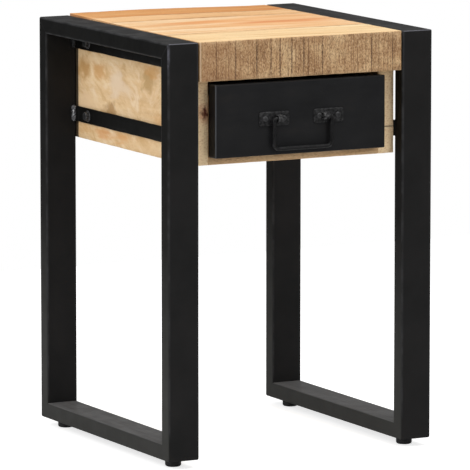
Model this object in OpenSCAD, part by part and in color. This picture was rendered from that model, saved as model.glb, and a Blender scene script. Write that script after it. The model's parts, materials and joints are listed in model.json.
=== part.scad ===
// Side table with one drawer: a thick plank top and a drawer case hang between two welded steel side frames.
// Origin: centre of the overall footprint, on the floor. +X is to the right, +Z is up, and the drawer opens
// towards -Y. Units are millimetres.

/* [Overall] */
// Outside width, across both side frames
width = 350; // [300:1:450]
// Depth of the side frames and of the plank top
depth = 343; // [300:1:420]
// Height of the front of the plank top above the floor
height = 500; // [400:1:650]

/* [Side frames] */
// Wide side of the rectangular steel tube
tube_w = 40; // [30:1:50]
// Narrow side of the tube, in the plane of the frame
tube_d = 19; // [15:1:30]
// Wall thickness of the tube
tube_wall = 1.5; // [1.2:0.1:2]
// Outside corner radius of the tube
tube_r = 2; // [1.6:0.1:3]
// How far the front of the plank top stands above the frames
top_proud = 0.5; // [0:0.5:2]
// Height of the flat crossbars
bar_h = 19; // [15:1:25]
// Thickness of the flat crossbars
bar_t = 3; // [3:0.5:6]
// How far the crossbars stand in past the tubes
bar_proud = 1; // [0.5:0.5:3]
// Height of the lower crossbar's underside above the case bottom
bar_lift = 20; // [10:1:30]
// Leg of the triangular weld seam at each crossbar end
weld_leg = 3; // [2:0.5:4]

/* [Bolts] */
// Distance of each bolt from the leg that it is next to
bolt_inset = 37; // [20:1:60]
// Across-corners size of the hexagon head
bolt_head_d = 11; // [9:0.5:13]
// Thickness of the head
bolt_head_h = 4; // [3:0.5:5]
// Shank diameter
bolt_d = 6; // [4:0.5:6]
// Length of the shank in the wood
bolt_grip = 18; // [10:1:20]
// Washer diameter
washer_d = 14; // [14:1:18]
// Washer thickness
washer_t = 1.2; // [1:0.1:2]

/* [Feet] */
// Diameter of the plastic glides
foot_d = 19; // [14:1:24]
// Height of the glides
foot_h = 10; // [6:1:15]
// Rounding of the glide's lower rim
foot_r = 2.5; // [1:0.5:4]
// Distance from the frame's end to the middle of a glide
foot_inset = 28; // [22:1:60]
// Diameter of the peg that plugs into the tube
foot_peg_d = 8; // [6:1:10]

/* [Plank top] */
// Thickness of the heavy front plank
plank_t = 47; // [35:1:60]
// Thickness of the planks behind it
board_t = 22; // [18:1:26]
// Share of the depth that each plank takes, front to back
plank_shares = [0.25, 0.43, 0.14, 0.18];
// How far the top of each plank lies above the front one, because the planks were never planed level
plank_rises = [0, 0, 0.7, 2];
// Easing of the long edges of each plank
plank_ease = 0.6; // [0.3:0.1:1.5]

/* [Drawer case] */
// Height of the case below the planks
case_h = 100; // [80:1:150]
// Thickness of the case's side boards
side_t = 21; // [15:1:25]
// Thickness of the case's bottom board
bottom_t = 9; // [6:1:15]
// Thickness of the case's back board
back_t = 12; // [8:1:18]
// Diameter of the dowels between case and planks
dowel_d = 8; // [6:1:10]
// Length of the dowels
dowel_l = 28; // [20:2:32]

/* [Drawer] */
// Width of the drawer front
front_w = 225; // [160:1:226]
// Height of the drawer front
front_h = 86; // [70:1:86]
// Thickness of the drawer front, with its steel facing
front_t = 17.5; // [14:0.5:22]
// How far the drawer face lies behind the front of the planks
face_setback = 1.5; // [0:0.5:5]
// Thickness of the steel facing
facing_t = 1.2; // [0.8:0.1:2]
// Thickness of the drawer box boards
box_t = 10; // [8:1:12]
// Height of the drawer box
box_h = 72; // [50:1:74]
// Thickness of the drawer's bottom panel
panel_t = 4; // [3:1:6]
// Running clearance on each side of the drawer box
run_gap = 1; // [0.5:0.5:2]
// How far the drawer opens
travel = 235; // [150:1:240]

/* [Handle] */
// Distance between the two legs of the bail, middle to middle
bail_span = 76; // [60:1:120]
// Drop from the pivot to the middle of the grip
bail_drop = 35.5; // [28:0.5:38]
// Diameter of the bail's rod
rod_d = 5.4; // [4:0.2:7]
// Distance of the rod's middle from the drawer face
stand_off = 5; // [5:0.5:8]
// Bend radius at the grip, on the rod's middle line
grip_bend = 6.5; // [5:0.5:12]
// Bend radius at the pivots, on the rod's middle line
pivot_bend = 3.6; // [3:0.1:4]
// Thickness of the clip's sheet
clip_t = 1.5; // [1:0.1:1.8]
// Height of the clip plate
clip_h = 16.5; // [14:0.5:20]
// Distance between the two screws of one clip
clip_screw_gap = 25; // [25:0.5:30]
// Distance from a clip's screw to the end of its plate
clip_end = 7.2; // [5:0.1:8]
// Width of the raised loop that holds the bail
loop_w = 7.6; // [6:0.1:8]
// Head diameter of the clip screws
screw_head_d = 6.6; // [5:0.1:7]

/* [Hidden] */
$fn = 48;
clear = 0.05;           // radial clearance round pegs, dowels and shanks
rod_clear = 0.3;        // radial clearance of the rod in its loop
loop_gap = 0.3;         // gap between a loop and the rod's bend
cut = 1;                // overshoot of a cutting tool

loop_r = rod_d / 2 + rod_clear + clip_t;
handle_reach = stand_off + loop_r - face_setback;
front_y = -(depth - handle_reach) / 2;
back_y = front_y + depth;

frame_top = height - top_proud;
tube_x = width / 2 - tube_w;
leg_front_y = front_y + tube_d;
leg_back_y = back_y - tube_d;
wood_x = tube_x - bar_proud;
bar_x = wood_x + bar_t;

plank_z = height - plank_t;
board_z = height - board_t;
front_plank_back_y = front_y + depth * plank_shares[0];
case_z = plank_z - case_h;
upper_bar_z = frame_top - tube_d - bar_h;
lower_bar_z = case_z + bar_lift;
bar_levels = [lower_bar_z, upper_bar_z];
bolt_ys = [leg_front_y + bolt_inset, leg_back_y - bolt_inset];

inner_x = wood_x - side_t;
floor_z = case_z + bottom_t;
case_front_y = leg_front_y;
case_back_y = back_y;
dowel_x = wood_x - side_t / 2;
dowel_shares = [0.15, 0.45, 0.75];    // places of the dowels along the depth of the case
dowel_ys = [for (t = dowel_shares) case_front_y + t * (case_back_y - case_front_y)];

face_y = front_y + face_setback;
box_y = face_y + front_t;
rest_gap = 0.5;         // gap below and behind the closed drawer, and to the stop when it is open
front_z = floor_z + rest_gap;
box_x = inner_x - run_gap;
box_back_y = case_back_y - back_t - rest_gap;
groove = 4;             // depth of the groove for the bottom panel
panel_lift = 5;         // height of the panel above the lower edge of the box
back_lift = panel_lift + panel_t;

stop_w = 30;
stop_t = 12;
stop_overlap = 6.5;     // how far the stop reaches below the top of the drawer box
stop_z = front_z + box_h - stop_overlap;
stop_y = box_back_y - box_t - travel - stop_t - rest_gap;

front_screw_xs = [-75, 75];
front_screw_z = front_z + box_h / 2;
front_screw_d = 4;
front_screw_grip = 10;  // length of the screw in the drawer front
front_screw_head_h = 2;

pivot_z = front_z + front_h / 2;
pivot_y = face_y - stand_off;
leg_x = bail_span / 2;
loop_x = leg_x - pivot_bend - loop_gap - loop_w / 2;
clip_x = leg_x - 2;     // middle of a clip plate
clip_corner = 3;        // corner radius of a clip plate
clip_screw_d = 3;
clip_screw_l = 12;      // depth of the screw holes behind the face
screw_tip_gap = 1;      // how much shorter than its hole a clip screw is
screw_sink = 1.4;       // depth of the middle of the round screw head below the plate's surface

steel = "#26272a";
plastic = "#17181a";
weld_grey = "#6d6e72";
wood_top = "#e2bd8a";
wood_side = "#d8b98c";
wood_inner = "#c9a678";
iron = "#303134";

// ---------- shared shapes ----------

// Rectangle with rounded corners, from its lower left corner
module round_rect(w, d, r) {
    translate([r, 0]) square([w - 2 * r, d]);
    translate([0, r]) square([w, d - 2 * r]);
    for (x = [r, w - r], y = [r, d - r]) translate([x, y]) circle(r);
}

// Box between two corners
module block(low, high) {
    translate(low) cube(high - low);
}

// Rectangular tube standing on the origin, mitred at both ends: its side at y = 0 has the full length
module mitred_tube(length) {
    intersection() {
        linear_extrude(length) difference() {
            round_rect(tube_w, tube_d, tube_r);
            translate([tube_wall, tube_wall])
                round_rect(tube_w - 2 * tube_wall, tube_d - 2 * tube_wall, tube_r - tube_wall);
        }
        translate([-cut, 0, 0]) rotate([90, 0, 90]) linear_extrude(tube_w + 2 * cut)
            polygon([[0, 0], [tube_d, tube_d], [tube_d, length - tube_d], [0, length]]);
    }
}

// Puts a shape made for the left side frame on the given side: -1 left, 1 right
module on_side(side) {
    mirror([side > 0 ? 1 : 0, 0, 0]) children();
}

// Puts shapes at every bolt of the left frame, with their Z axis along +X and their origin at x0
module at_bolts(x0) {
    for (y = bolt_ys, z = bar_levels) translate([x0, y, z + bar_h / 2]) rotate([0, 90, 0]) children();
}

module bolt_holes(side) {
    on_side(side) at_bolts(-bar_x - cut) cylinder(d = bolt_d + 2 * clear, h = bar_t + bolt_grip + 2 * cut);
}

// Cylinders across the joint between the case sides and the planks, half in each
module dowel_row(gap) {
    for (x = [-dowel_x, dowel_x], y = dowel_ys)
        translate([x, y, (y < front_plank_back_y ? plank_z : board_z) - dowel_l / 2 - gap])
            cylinder(d = dowel_d + 2 * gap, h = dowel_l + 2 * gap);
}

// ---------- side frames ----------

module leg(side, rear) {
    color(steel) on_side(side) translate([-width / 2, rear ? back_y : front_y, foot_h])
        mirror([0, rear ? 1 : 0, 0]) mitred_tube(frame_top - foot_h);
}

module top_rail(side) {
    color(steel) on_side(side) translate([-width / 2, front_y, frame_top])
        mirror([0, 0, 1]) mirror([0, 1, 0]) rotate([90, 0, 0]) mitred_tube(depth);
}

module bottom_rail(side) {
    color(steel) on_side(side) difference() {
        translate([-width / 2, front_y, foot_h]) mirror([0, 1, 0]) rotate([90, 0, 0]) mitred_tube(depth);
        for (y = [front_y + foot_inset, back_y - foot_inset])
            translate([-width / 2 + tube_w / 2, y, foot_h - cut])
                cylinder(d = foot_peg_d + 2 * clear, h = tube_wall + 2 * cut);
    }
}

module crossbar(side, z) {
    color(steel) difference() {
        on_side(side) block([-bar_x, leg_front_y, z], [-wood_x, leg_back_y, z + bar_h]);
        bolt_holes(side);
    }
}

// Triangular seam in the corner between a leg and the outer face of a crossbar
module welds(side) {
    color(weld_grey) on_side(side) for (z = bar_levels, rear = [0, 1])
        translate([-bar_x, rear ? leg_back_y : leg_front_y, z]) mirror([0, rear, 0]) linear_extrude(bar_h)
            polygon([[0, 0], [-weld_leg, 0], [0, weld_leg]]);
}

module washers(side) {
    color(steel) on_side(side) at_bolts(-bar_x - washer_t) difference() {
        cylinder(d = washer_d, h = washer_t);
        translate([0, 0, -cut]) cylinder(d = bolt_d + 2 * clear, h = washer_t + 2 * cut);
    }
}

module bolts(side) {
    color(steel) on_side(side) at_bolts(-bar_x - washer_t - bolt_head_h) {
        cylinder(d = bolt_head_d, h = bolt_head_h, $fn = 6);
        cylinder(d = bolt_d, h = bolt_head_h + washer_t + bar_t + bolt_grip);
    }
}

// Round plastic glide with a peg that plugs into the bottom rail
module foot(side, rear) {
    y = rear ? back_y - foot_inset : front_y + foot_inset;
    color(plastic) translate([side * (width / 2 - tube_w / 2), y, 0]) {
        rotate_extrude() {
            translate([0, foot_r]) square([foot_d / 2, foot_h - foot_r]);
            square([foot_d / 2 - foot_r, foot_r]);
            intersection() {
                translate([foot_d / 2 - foot_r, foot_r]) circle(foot_r);
                square([foot_d / 2, foot_r]);
            }
        }
        translate([0, 0, foot_h]) cylinder(d = foot_peg_d, h = tube_wall + foot_peg_d);
    }
}

// ---------- plank top and drawer case ----------

function share_sum(n) = n == 0 ? 0 : plank_shares[n - 1] + share_sum(n - 1);

// Outline of a plank's cross-section with eased long edges
module eased_rect(w, h) {
    e = plank_ease;
    polygon([[e, 0], [w - e, 0], [w, e], [w, h - e], [w - e, h], [e, h], [0, h - e], [0, e]]);
}

module plank(n) {
    y0 = front_y + depth * share_sum(n);
    z0 = n == 0 ? plank_z : board_z;
    color(wood_top) difference() {
        translate([-wood_x, y0, z0]) rotate([90, 0, 90]) linear_extrude(2 * wood_x)
            eased_rect(depth * plank_shares[n], height + plank_rises[n] - z0);
        for (side = [-1, 1]) bolt_holes(side);
        dowel_row(clear);
    }
}

// Side board, notched at its front under the heavy plank
module case_side(side) {
    color(wood_side) difference() {
        on_side(side) block([-wood_x, case_front_y, case_z], [-inner_x, case_back_y, board_z]);
        on_side(side) block([-wood_x - cut, case_front_y - cut, plank_z],
                            [-inner_x + cut, front_plank_back_y, board_z + cut]);
        bolt_holes(side);
        dowel_row(clear);
    }
}

module case_bottom() {
    color(wood_inner) block([-inner_x, case_front_y, case_z], [inner_x, case_back_y, floor_z]);
}

module case_back() {
    color(wood_inner) block([-inner_x, case_back_y - back_t, floor_z], [inner_x, case_back_y, board_z]);
}

module case_dowels() {
    color(wood_inner) dowel_row(0);
}

// Block under the front plank that catches the back of the drawer when it is fully open
module drawer_stop() {
    color(wood_inner) block([-stop_w / 2, stop_y, stop_z], [stop_w / 2, stop_y + stop_t, plank_z]);
}

// ---------- drawer ----------

module clip_screw_holes() {
    for (side = [-1, 1], i = [-1, 1])
        translate([side * clip_x + i * clip_screw_gap / 2, face_y + clip_screw_l, pivot_z])
            rotate([90, 0, 0]) cylinder(d = clip_screw_d + 2 * clear, h = clip_screw_l + clip_t + cut);
}

module front_screw_holes() {
    for (x = front_screw_xs) translate([x, box_y + box_t + cut, front_screw_z])
        rotate([90, 0, 0]) cylinder(d = front_screw_d + 2 * clear, h = box_t + front_screw_grip + cut);
}

module drawer_front_core() {
    f = facing_t;
    color(wood_inner) difference() {
        block([-front_w / 2 + f, face_y + f, front_z + f], [front_w / 2 - f, box_y, front_z + front_h - f]);
        clip_screw_holes();
        front_screw_holes();
    }
}

// Steel pan folded round the face and the four edges of the core
module drawer_front_facing() {
    f = facing_t;
    color(steel) difference() {
        block([-front_w / 2, face_y, front_z], [front_w / 2, box_y, front_z + front_h]);
        block([-front_w / 2 + f, face_y + f, front_z + f],
              [front_w / 2 - f, box_y + cut, front_z + front_h - f]);
        clip_screw_holes();
    }
}

// Slot for the bottom panel, wider and longer than the box
module panel_slot() {
    block([-box_x + box_t - groove, box_y + box_t - groove, front_z + panel_lift],
          [box_x - box_t + groove, box_back_y + cut, front_z + panel_lift + panel_t]);
}

module drawer_inner_front() {
    color(wood_inner) difference() {
        block([-box_x + box_t, box_y, front_z], [box_x - box_t, box_y + box_t, front_z + box_h]);
        panel_slot();
        front_screw_holes();
    }
}

module drawer_front_screws() {
    head = front_screw_head_h;
    color(iron) for (x = front_screw_xs)
        translate([x, box_y + box_t + head, front_screw_z]) rotate([90, 0, 0]) {
            cylinder(d = 2 * front_screw_d, h = head);
            cylinder(d = front_screw_d, h = box_t + front_screw_grip);
        }
}

module drawer_side(side) {
    color(wood_inner) difference() {
        on_side(side) block([-box_x, box_y, front_z], [-box_x + box_t, box_back_y, front_z + box_h]);
        panel_slot();
    }
}

module drawer_back() {
    color(wood_inner) block([-box_x + box_t, box_back_y - box_t, front_z + back_lift],
                            [box_x - box_t, box_back_y, front_z + box_h]);
}

module drawer_bottom() {
    color(wood_inner) block([-box_x + box_t - groove, box_y + box_t - groove, front_z + panel_lift],
                            [box_x - box_t + groove, box_back_y, front_z + panel_lift + panel_t]);
}

// ---------- handle ----------

// Cross-section of the raised loop, in (distance from the drawer face, height from the pivot)
module loop_section(r) {
    translate([clip_t, -r]) square([stand_off - clip_t, 2 * r]);
    intersection() {
        translate([stand_off, 0]) circle(r);
        translate([stand_off, -r]) square([r, 2 * r]);
    }
}

// Clip plate with the loop pressed out of its middle
module handle_clip(side) {
    half = clip_screw_gap / 2 + clip_end;
    color(iron) on_side(side) difference() {
        union() {
            translate([-clip_x - half, face_y, pivot_z - clip_h / 2]) rotate([90, 0, 0])
                linear_extrude(clip_t) round_rect(2 * half, clip_h, clip_corner);
            translate([-loop_x + loop_w / 2, face_y, pivot_z]) rotate([90, 0, -90])
                linear_extrude(loop_w) difference() {
                    loop_section(loop_r);
                    loop_section(loop_r - clip_t);
                }
        }
        clip_screw_holes();
    }
}

module handle_screws() {
    tip = clip_screw_l - screw_tip_gap;
    color(iron) for (side = [-1, 1], i = [-1, 1])
        translate([side * clip_x + i * clip_screw_gap / 2, face_y + tip, pivot_z]) rotate([90, 0, 0]) {
            cylinder(d = clip_screw_d, h = tip + clip_t);
            translate([0, 0, tip + clip_t]) rotate_extrude() intersection() {
                translate([0, -screw_sink]) circle(screw_head_d / 2);
                square(screw_head_d / 2);
            }
        }
}

// Quarter ring of rod that starts at the origin pointing up and bends towards +x
module rod_bend(r) {
    translate([r, 0, 0]) rotate([90, 0, 0]) rotate([0, 0, 90]) rotate_extrude(angle = 90)
        translate([r, 0]) circle(rod_d / 2);
}

// Left half of the bail, from the pin in the loop to the middle of the grip
module half_bail() {
    pin = loop_w + loop_gap;
    translate([-leg_x, pivot_y, pivot_z - pivot_bend]) rod_bend(pivot_bend);
    translate([-leg_x + pivot_bend, pivot_y, pivot_z]) rotate([0, 90, 0]) cylinder(d = rod_d, h = pin);
    translate([-leg_x, pivot_y, pivot_z - bail_drop + grip_bend])
        cylinder(d = rod_d, h = bail_drop - grip_bend - pivot_bend);
    translate([-leg_x, pivot_y, pivot_z - bail_drop + grip_bend]) mirror([0, 0, 1]) rod_bend(grip_bend);
    translate([-leg_x + grip_bend, pivot_y, pivot_z - bail_drop])
        rotate([0, 90, 0]) cylinder(d = rod_d, h = leg_x - grip_bend);
}

module handle_bail() {
    color(iron) for (side = [-1, 1]) on_side(side) half_bail();
}

// ---------- parts ----------

leg(-1, false);  // left_front_leg
leg(-1, true);  // left_rear_leg
top_rail(-1);  // left_top_rail
bottom_rail(-1);  // left_bottom_rail
crossbar(-1, upper_bar_z);  // left_upper_bar
crossbar(-1, lower_bar_z);  // left_lower_bar
welds(-1);  // left_welds
washers(-1);  // left_washers
bolts(-1);  // left_bolts
leg(1, false);  // right_front_leg
leg(1, true);  // right_rear_leg
top_rail(1);  // right_top_rail
bottom_rail(1);  // right_bottom_rail
crossbar(1, upper_bar_z);  // right_upper_bar
crossbar(1, lower_bar_z);  // right_lower_bar
welds(1);  // right_welds
washers(1);  // right_washers
bolts(1);  // right_bolts
foot(-1, false);  // front_left_foot
foot(1, false);  // front_right_foot
foot(-1, true);  // rear_left_foot
foot(1, true);  // rear_right_foot
plank(0);  // front_plank
plank(1);  // front_middle_plank
plank(2);  // rear_middle_plank
plank(3);  // rear_plank
case_side(-1);  // case_left_side
case_side(1);  // case_right_side
case_bottom();
case_back();
case_dowels();
drawer_stop();
drawer_front_core();
drawer_front_facing();
drawer_inner_front();
drawer_front_screws();
drawer_side(-1);  // drawer_left_side
drawer_side(1);  // drawer_right_side
drawer_back();
drawer_bottom();
handle_clip(-1);  // handle_left_clip
handle_clip(1);  // handle_right_clip
handle_screws();
handle_bail();
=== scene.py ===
# Looks of the side table with drawer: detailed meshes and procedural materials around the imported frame.
import json
import math

import bmesh
import bpy
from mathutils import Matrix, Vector, noise

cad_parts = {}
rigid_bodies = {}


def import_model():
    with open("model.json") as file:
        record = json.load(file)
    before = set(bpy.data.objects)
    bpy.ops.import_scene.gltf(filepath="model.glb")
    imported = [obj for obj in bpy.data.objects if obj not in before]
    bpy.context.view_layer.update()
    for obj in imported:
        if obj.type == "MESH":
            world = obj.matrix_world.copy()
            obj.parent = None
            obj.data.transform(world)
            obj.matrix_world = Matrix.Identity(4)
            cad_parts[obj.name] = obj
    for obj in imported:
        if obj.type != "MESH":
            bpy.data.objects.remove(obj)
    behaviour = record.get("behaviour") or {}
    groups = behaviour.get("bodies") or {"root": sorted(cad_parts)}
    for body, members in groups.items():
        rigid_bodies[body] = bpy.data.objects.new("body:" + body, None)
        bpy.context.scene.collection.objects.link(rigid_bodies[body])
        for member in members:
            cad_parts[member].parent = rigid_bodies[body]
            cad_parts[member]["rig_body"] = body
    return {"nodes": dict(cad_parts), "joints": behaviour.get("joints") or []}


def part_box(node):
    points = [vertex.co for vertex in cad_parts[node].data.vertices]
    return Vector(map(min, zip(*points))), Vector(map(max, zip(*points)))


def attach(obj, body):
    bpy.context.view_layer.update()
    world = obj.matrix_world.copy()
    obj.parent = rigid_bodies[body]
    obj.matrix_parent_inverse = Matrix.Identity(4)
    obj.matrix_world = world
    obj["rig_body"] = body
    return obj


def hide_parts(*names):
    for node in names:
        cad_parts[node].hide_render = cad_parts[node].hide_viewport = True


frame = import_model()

MM = 0.001
X, Y, Z = Vector((1, 0, 0)), Vector((0, 1, 0)), Vector((0, 0, 1))
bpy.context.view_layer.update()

# The planks of the top, front to back
PLANKS = ["front_plank", "front_middle_plank", "rear_middle_plank", "rear_plank"]

# Deep saw lines across the face of the front plank: (share of its width from the left, width)
SAW_LINES = [(0.083, 1.2 * MM), (0.176, 1.4 * MM), (0.28, 1.6 * MM), (0.35, 1.2 * MM), (0.393, 1.1 * MM),
             (0.452, 1.4 * MM), (0.512, 1.2 * MM), (0.604, 1.3 * MM), (0.85, 1.4 * MM), (0.955, 1.2 * MM)]

CLIP_SHEET = 1.5 * MM       # thickness of the handle's clips
LOOP_MIDDLE = 30.3 * MM     # distance of their straps from the middle of the handle

# Upper rear right corners of the first and the last plank
TOP_FRONT, TOP_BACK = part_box("front_plank")[1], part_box("rear_plank")[1]


# ---------- camera, lights and floor ----------

def facing(azimuth, elevation):
    """Direction from the table to a viewer at that azimuth and elevation, in degrees."""
    a, e = math.radians(azimuth), math.radians(elevation)
    return Vector((math.sin(a) * math.cos(e), -math.cos(a) * math.cos(e), math.sin(e)))


def add_object(name, data, material=None):
    """Puts new data into the scene as an object."""
    thing = bpy.data.objects.new(name, data)
    bpy.context.scene.collection.objects.link(thing)
    if material:
        data.materials.append(material)
    return thing


def add_camera():
    """A long lens from the front left, a little above the table top."""
    aim = Vector((0, 0, 0.2442))
    distance = 6.382
    back = facing(-27.704, 8.365)
    lens = bpy.data.cameras.new("camera")
    lens.lens = 407.5
    lens.clip_end = 100
    camera = add_object("camera", lens)
    camera.location = aim + distance * back
    camera.rotation_euler = back.to_track_quat("Z", "Y").to_euler()
    bpy.context.scene.camera = camera


def add_softbox(name, azimuth, elevation, distance, width, power):
    """A square area light that shines on the middle of the table."""
    light = bpy.data.lights.new(name, "AREA")
    light.size = width
    light.energy = power
    box = add_object(name, light)
    back = facing(azimuth, elevation)
    box.location = Vector((0, 0, 0.3)) + distance * back
    box.rotation_euler = back.to_track_quat("Z", "Y").to_euler()


def seen_brighter(tree, lit, seen):
    """A strength that is low as light on the table, and high where the camera sees the backdrop itself."""
    path = tree.nodes.new("ShaderNodeLightPath")
    level = tree.nodes.new("ShaderNodeMapRange")
    level.inputs["To Min"].default_value = lit
    level.inputs["To Max"].default_value = seen
    tree.links.new(path.outputs["Is Camera Ray"], level.inputs["Value"])
    return level.outputs[0]


def add_studio():
    """White surroundings, a large soft light from above, one from the left and a weak one from the right."""
    world = bpy.data.worlds.new("studio")
    bpy.context.scene.world = world
    world.use_nodes = True
    tree = world.node_tree
    sky = tree.nodes["Background"]
    sky.inputs["Color"].default_value = (1, 1, 1, 1)
    tree.links.new(seen_brighter(tree, 0.3, 1.0), sky.inputs["Strength"])
    add_softbox("overhead", 10, 78, 2.2, 1.8, 38)
    add_softbox("left", -85, 30, 2.4, 1.6, 29)
    add_softbox("right", 25, 25, 3.0, 1.2, 17)
    bpy.context.scene.view_settings.view_transform = "Standard"


def add_floor():
    """Plain pale paper, which glows a little for the camera only."""
    paper = Surface("paper", 0.9)
    paper.shader.inputs["Base Color"].default_value = (0.75, 0.75, 0.75, 1)
    paper.shader.inputs["Emission Color"].default_value = (1, 1, 1, 1)
    strength = seen_brighter(paper.tree, 0.0, 0.72)
    paper.tree.links.new(strength, paper.shader.inputs["Emission Strength"])
    mesh = bpy.data.meshes.new("floor")
    reach = 1.3
    mesh.from_pydata([(-reach, -reach, 0), (reach, -reach, 0), (reach, reach, 0), (-reach, reach, 0)],
                     [], [(0, 1, 2, 3)])
    add_object("floor", mesh, paper.material)


# ---------- materials ----------

def srgb(red, green, blue):
    """Linear colour of an sRGB colour given in 0 to 255."""
    def linear(part):
        part /= 255
        return part / 12.92 if part <= 0.04045 else ((part + 0.055) / 1.055) ** 2.4
    return (linear(red), linear(green), linear(blue), 1)


def grey(level):
    return (level, level, level, 1)


class Surface:
    """A material under construction: one Principled shader and short ways to add nodes to it."""

    def __init__(self, name, roughness, metallic=0.0, specular=0.5):
        self.material = bpy.data.materials.new(name)
        self.material.use_nodes = True
        self.tree = self.material.node_tree
        self.shader = self.tree.nodes["Principled BSDF"]
        self.shader.inputs["Roughness"].default_value = roughness
        self.shader.inputs["Metallic"].default_value = metallic
        self.shader.inputs["Specular IOR Level"].default_value = specular
        place = self.tree.nodes.new("ShaderNodeTexCoord")
        self.place, self.normal = place.outputs["Object"], place.outputs["Normal"]

    def add(self, kind, inputs, output=0, **settings):
        """Adds a node, fills its inputs with numbers or other nodes' outputs, and returns one output."""
        node = self.tree.nodes.new(kind)
        for setting, value in settings.items():
            setattr(node, setting, value)
        for socket, value in inputs.items():
            if isinstance(value, bpy.types.NodeSocket):
                self.tree.links.new(value, node.inputs[socket])
            else:
                node.inputs[socket].default_value = value
        return node.outputs[output]

    def stretched(self, size, turn=(0, 0, 0), seed=0):
        """Coordinates that run from 0 to 1 over size metres, turned, and moved elsewhere for each seed."""
        shift = (0.37 * seed, 0.61 * seed, 0.23 * seed)
        return self.add("ShaderNodeMapping", {"Vector": self.place, "Scale": size, "Rotation": turn,
                                              "Location": shift}, vector_type="TEXTURE")

    def coordinate(self, axis):
        """The X, Y or Z of each point, in metres."""
        return self.add("ShaderNodeSeparateXYZ", {"Vector": self.place}, axis)

    def noise(self, vector, detail=3.0, roughness=0.55, distortion=0.0):
        return self.add("ShaderNodeTexNoise", {"Vector": vector, "Scale": 1.0, "Detail": detail,
                                               "Roughness": roughness, "Distortion": distortion})

    def even_noise(self, size, seed=0, detail=3.0):
        """Noise whose lumps are about size metres wide."""
        return self.noise(self.stretched((size, size, size), seed=seed), detail)

    def span(self, value, low, high, to_low=0.0, to_high=1.0):
        """Maps value from low..high to to_low..to_high with soft ends."""
        return self.add("ShaderNodeMapRange", {"Value": value, "From Min": low, "From Max": high,
                                               "To Min": to_low, "To Max": to_high},
                        interpolation_type="SMOOTHSTEP")

    def math(self, operation, a, b=0.0):
        return self.add("ShaderNodeMath", {0: a, 1: b}, operation=operation)

    def vector(self, operation, a, b=(0, 0, 0), output=0):
        return self.add("ShaderNodeVectorMath", {0: a, 1: b}, output, operation=operation)

    def mix(self, factor, a, b, mode="MIX"):
        """Mixes colour b over colour a."""
        return self.add("ShaderNodeMix", {0: factor, 6: a, 7: b}, 2, data_type="RGBA", blend_type=mode)

    def ramp(self, value, *stops):
        """Colours by value; each stop is (position, colour)."""
        node = self.tree.nodes.new("ShaderNodeValToRGB")
        self.tree.links.new(value, node.inputs[0])
        marks = node.color_ramp.elements
        marks[1].position, marks[1].color = stops[-1]
        marks[0].position, marks[0].color = stops[0]
        for position, colour in stops[1:-1]:
            marks.new(position).color = colour
        return node.outputs[0]

    def towards(self, direction):
        """1 on faces that look along direction, 0 on the others."""
        return self.span(self.vector("DOT_PRODUCT", self.normal, direction, output=1), 0.55, 0.8)

    def spot(self, centre, radius, ragged=0.5, seed=0):
        """1 in the middle of an uneven oval spot, falling to 0 at its rim."""
        away = self.vector("DIVIDE", self.vector("SUBTRACT", self.place, centre), radius)
        wander = self.add("ShaderNodeTexNoise", {"Vector": self.stretched(radius, seed=seed), "Scale": 1.5,
                                                 "Detail": 3.0}, "Color")
        wander = self.vector("SUBTRACT", wander, (0.5, 0.5, 0.5))
        wander = self.vector("MULTIPLY", wander, (2 * ragged, 2 * ragged, 2 * ragged))
        return self.span(self.vector("LENGTH", self.vector("ADD", away, wander), output=1), 1.0, 0.25)

    def edges(self, low=0.506, high=0.524):
        """1 on convex outside edges, from how strongly the mesh bends there: used for scuffed edges and for
        painted edge highlights.
        """
        bend = self.add("ShaderNodeNewGeometry", {}, "Pointiness")
        return self.span(bend, low, high)

    def bump(self, height, depth, under=None):
        inputs = {"Height": height, "Distance": depth, "Strength": 1.0}
        if under is not None:
            inputs["Normal"] = under
        return self.add("ShaderNodeBump", inputs)

    def finish(self, colour, roughness=None, normal=None):
        """Plugs the finished colour, roughness and normal into the shader and returns the material."""
        for socket, value in (("Base Color", colour), ("Roughness", roughness), ("Normal", normal)):
            if value is not None:
                self.tree.links.new(value, self.shader.inputs[socket])
        return self.material


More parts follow.
